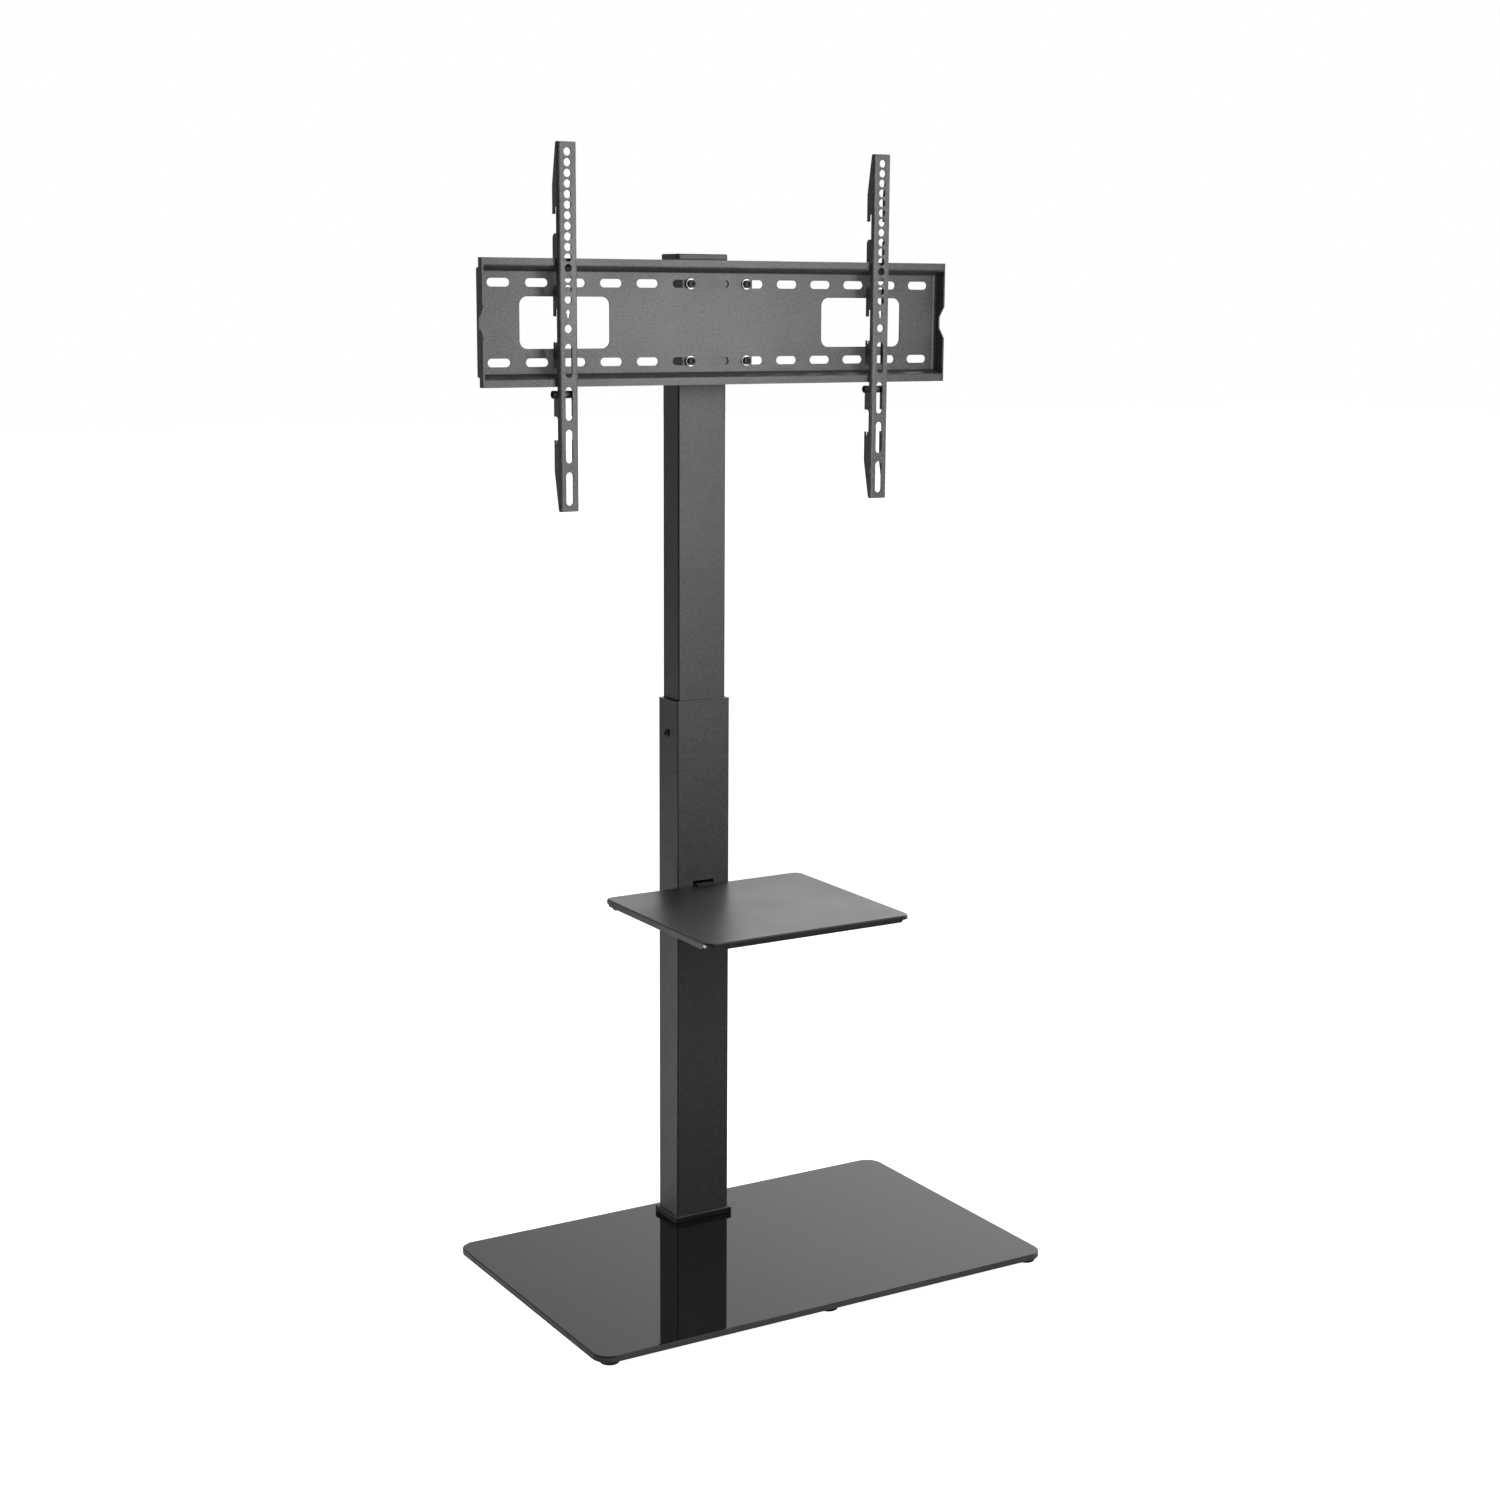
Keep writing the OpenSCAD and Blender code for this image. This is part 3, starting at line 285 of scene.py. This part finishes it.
def softened(node, body, width, segments, shape):
    """The node's own shape with its edges rounded, riding where the node rides."""
    mesh = frame["nodes"][node].data.copy()
    mesh.materials.clear()
    bm = bmesh.new()
    bm.from_mesh(mesh)
    bmesh.ops.remove_doubles(bm, verts=bm.verts, dist=SAME)
    bmesh.ops.dissolve_limit(bm, angle_limit=math.radians(FLAT), verts=bm.verts,
                             edges=bm.edges, use_dissolve_boundaries=False)
    if shape:
        shape(bm)
    bm.to_mesh(mesh)
    bm.free()
    ob = bpy.data.objects.new(node + "_skin", mesh)
    bpy.context.scene.collection.objects.link(ob)
    edge = ob.modifiers.new("edge", "BEVEL")
    edge.width = width
    edge.segments = segments
    edge.limit_method = "ANGLE"
    edge.angle_limit = math.radians(ROUNDED)
    edge.use_clamp_overlap = True
    edge.miter_outer = "MITER_ARC"
    finished(ob)
    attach(ob, body)
    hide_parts(node)
    SKINS[node] = ob
    return ob


def dress(node, mat, width=0.0, segments=2, shape=None):
    """Gives a node its finish, on a softened copy where a width is given."""
    if width:
        body = next(b for b, names in bodies.items() if node in names)
        ob = softened(node, body, width, segments, shape)
    else:
        ob = frame["nodes"][node]
    ob.data.materials.clear()
    ob.data.materials.append(MATS[mat])
    return ob


def second_finish(ob, mat, chosen):
    """Gives another finish to the faces that chosen picks."""
    ob.data.materials.append(MATS[mat])
    place = len(ob.data.materials) - 1
    for face in ob.data.polygons:
        if chosen(face):
            face.material_index = place


bodies = frame["record"]["behaviour"]["bodies"]
# The softened copies, by node
SKINS = {}
# How far up the faces of the glass's rim point, at least and at most
RIM_UP = (0.97, 0.995)
# The bolts' slots: half width and half height of their field, and the height of its middle
SLOTS_X, SLOTS_Z, SLOTS_MID = 0.062, 0.055, 1.1985


def upright(face):
    return abs(face.normal.z) < WALL


# Rim faces on the glass's front and left, which get the painted shade
def near_rim(face):
    return RIM_UP[0] < face.normal.z < RIM_UP[1] and face.normal.x + face.normal.y < 0


# Faces of a tube's rounded front-left corner, which get the painted shade
def front_left_corner(face):
    return face.normal.x < -WALL and face.normal.y < -WALL


# Walls of the plate's bolt slots, which get the painted shade
def slot_wall(face):
    return (abs(face.normal.y) < UP and abs(face.center.x) < SLOTS_X
            and abs(face.center.z - SLOTS_MID) < SLOTS_Z)


def dress_all():
    """Node, material slot, finish and, where its edges are softened, their width in metres."""
    glass = dress("glass_base", "glass", 0.0006, 3, shape=sloped_rim)
    second_finish(glass, "glass_edge", upright)
    # Painted shade along the near front and left rim of the glass
    second_finish(glass, "rim_painted_shade_near", near_rim)
    dress("base_feet", "rubber", 0.0004)
    dress("under_pad", "rubber")
    dress("under_plate", "steel", 0.0004)
    dress("base_screws", "dark_zinc")
    dress("glass_bushes", "nylon")
    dress("base_gasket", "rubber")
    dress("column_foot_plate", "steel")
    collar = dress("foot_collar", "plastic", 0.0004)
    # Painted shade on the collar's upright sides
    second_finish(collar, "plastic_painted_shade_side", upright)
    dress("tube_bushing", "plastic", 0.0003)
    dress("height_lock_screw", "bolt_black", 0.0002)
    dress("shelf", "shelf", 0.0004)
    dress("shelf_screws", "dark_zinc", 0.0002)
    for node in ("lower_tube", "upper_tube"):
        tube = dress(node, "steel", 0.0003)
        # Painted shade on each tube's front-left rounded corner
        second_finish(tube, "steel_painted_shade_corner", front_left_corner)
    dress("lower_glide", "plastic", 0.0003)
    dress("column_cap", "plastic", 0.0005)
    dress("head_bracket", "steel", 0.0006)
    dress("plate_nuts", "bright_zinc", 0.0003)
    dress("plate_bolts", "bolt_black", 0.0003)
    dress("plate_washers", "washer_zinc", 0.0003)
    plate = dress("mount_plate", "steel_sheet", 0.0004)
    # Painted shade on the walls of the plate's bolt slots
    second_finish(plate, "slot_painted_shade", slot_wall)
    for side in ("left", "right"):
        # The arms take the lighter copy of the powder coat, which is painted light
        dress(f"arm_{side}", "steel_painted_light_arm", 0.0004)
        dress(f"arm_{side}_lock_screw", "bolt_black", 0.0002)
        dress(f"arm_{side}_lock_sleeve", "plastic")
        dress(f"arm_{side}_lock_nut", "dark_zinc", 0.0003)


# ---- studio ----

def area(name, place, aim, width, height, watts):
    """A soft rectangular light."""
    data = bpy.data.lights.new(name, "AREA")
    data.shape = "RECTANGLE"
    data.size = width
    data.size_y = height
    data.energy = watts
    ob = bpy.data.objects.new(name, data)
    bpy.context.scene.collection.objects.link(ob)
    ob.location = place
    ob.rotation_euler = (Vector(aim) - Vector(place)).to_track_quat("-Z", "Y").to_euler()
    return ob


# Name, place, aim, width, height and power of the soft lights
LAMPS = [
    ("front_high", (0.3, -0.6, 1.3), (0.0, 0.1, 1.15), 0.4, 0.4, 3.33),
    ("front_mid", (0.3, -0.9, 0.8), (0.0, 0.1, 0.8), 0.4, 0.4, 3.29),
    ("front_wide", (0.0, -1.2, 1.4), (0.0, 0.1, 1.15), 0.6, 0.8, 6.85),
    ("front_right", (0.65, -1.0, 1.3), (0.0, 0.1, 1.2), 0.5, 0.5, 1.98),
    ("side_low", (-0.9, 0.2, 0.2), (0.0, 0.15, 0.15), 0.5, 0.3, 9.1),
    ("rear_low", (0.5, 1.2, 1.25), (0.0, 0.0, 0.5), 0.8, 0.5, 1.7),
    ("rear_right", (1.2, 0.9, 1.6), (0.0, 0.1, 0.8), 0.6, 0.8, 8.5),
]
# Pieces in which a lamp would show as a hard bright patch from the sides or from behind
UNLIT = {
    "front_high": ("shelf",),
    "front_mid": ("shelf",),
    "front_wide": ("shelf",),
    "side_low": ("glass_base",),
}
# Direction, narrowness and brightness of the soft glows in the surroundings
GLOWS = [
    ((0.5, 0.86, 0.25), 12.0, 0.395),
    ((-0.5, 0.86, 0.2), 12.0, 0.669),
    ((1.0, 0.0, 0.0), 2.0, 2.848),
]


def leave_out(lamp, nodes):
    """Keeps a lamp's light off some of the pieces."""
    if not nodes:
        return
    group = bpy.data.collections.new(lamp.name + "_receivers")
    for node in nodes:
        group.objects.link(SKINS[node])
    for entry in group.collection_objects:
        entry.light_linking.link_state = "EXCLUDE"
    lamp.light_linking.receiver_collection = group


def glow_strength(tree, ray):
    """Sum of the glows for a ray's direction."""
    total = None
    for aim, narrow, bright in GLOWS:
        dot = tree.nodes.new("ShaderNodeVectorMath")
        dot.operation = "DOT_PRODUCT"
        dot.inputs[1].default_value = Vector(aim).normalized()
        tree.links.new(ray, dot.inputs[0])
        last = dot.outputs["Value"]
        for job, value in (("MAXIMUM", 0.0), ("POWER", narrow), ("MULTIPLY", bright)):
            step = tree.nodes.new("ShaderNodeMath")
            step.operation = job
            step.inputs[1].default_value = value
            tree.links.new(last, step.inputs[0])
            last = step.outputs[0]
        if total is not None:
            both = tree.nodes.new("ShaderNodeMath")
            both.operation = "ADD"
            tree.links.new(total, both.inputs[0])
            tree.links.new(last, both.inputs[1])
            last = both.outputs[0]
        total = last
    return total


def studio():
    """The lamps, and surroundings that glow softly but look white to the camera."""
    for lamp in LAMPS:
        leave_out(area(*lamp), UNLIT.get(lamp[0], ()))
    world = bpy.data.worlds.new("studio")
    bpy.context.scene.world = world
    world.use_nodes = True
    tree = world.node_tree
    tree.nodes.clear()
    out = tree.nodes.new("ShaderNodeOutputWorld")
    back = tree.nodes.new("ShaderNodeBackground")
    seen = tree.nodes.new("ShaderNodeBackground")
    mix = tree.nodes.new("ShaderNodeMixShader")
    path = tree.nodes.new("ShaderNodeLightPath")
    place = tree.nodes.new("ShaderNodeTexCoord")
    tree.links.new(glow_strength(tree, place.outputs["Generated"]), back.inputs["Color"])
    seen.inputs["Color"].default_value = (1, 1, 1, 1)
    tree.links.new(path.outputs["Is Camera Ray"], mix.inputs[0])
    tree.links.new(back.outputs[0], mix.inputs[1])
    tree.links.new(seen.outputs[0], mix.inputs[2])
    tree.links.new(mix.outputs[0], out.inputs[0])


def pale_floor():
    """A floor that looks white to the camera and mid grey to the stand."""
    mesh = bpy.data.meshes.new("floor")
    half = 20.0
    mesh.from_pydata([(-half, -half, 0), (half, -half, 0), (half, half, 0), (-half, half, 0)],
                     [], [(0, 1, 2, 3)])
    floor = bpy.data.objects.new("floor", mesh)
    bpy.context.scene.collection.objects.link(floor)
    mat = bpy.data.materials.new("floor_pale")
    mat.use_nodes = True
    tree = mat.node_tree
    tree.nodes.clear()
    out = tree.nodes.new("ShaderNodeOutputMaterial")
    matt = tree.nodes.new("ShaderNodeBsdfDiffuse")
    matt.inputs["Color"].default_value = (0.5, 0.5, 0.5, 1)
    glow = tree.nodes.new("ShaderNodeEmission")
    path = tree.nodes.new("ShaderNodeLightPath")
    both = tree.nodes.new("ShaderNodeAddShader")
    tree.links.new(path.outputs["Is Camera Ray"], glow.inputs["Strength"])
    tree.links.new(matt.outputs[0], both.inputs[0])
    tree.links.new(glow.outputs[0], both.inputs[1])
    tree.links.new(both.outputs[0], out.inputs[0])
    mesh.materials.append(mat)


make_camera()
dress_all()
studio()
pale_floor()
bpy.context.scene.view_settings.view_transform = "Standard"
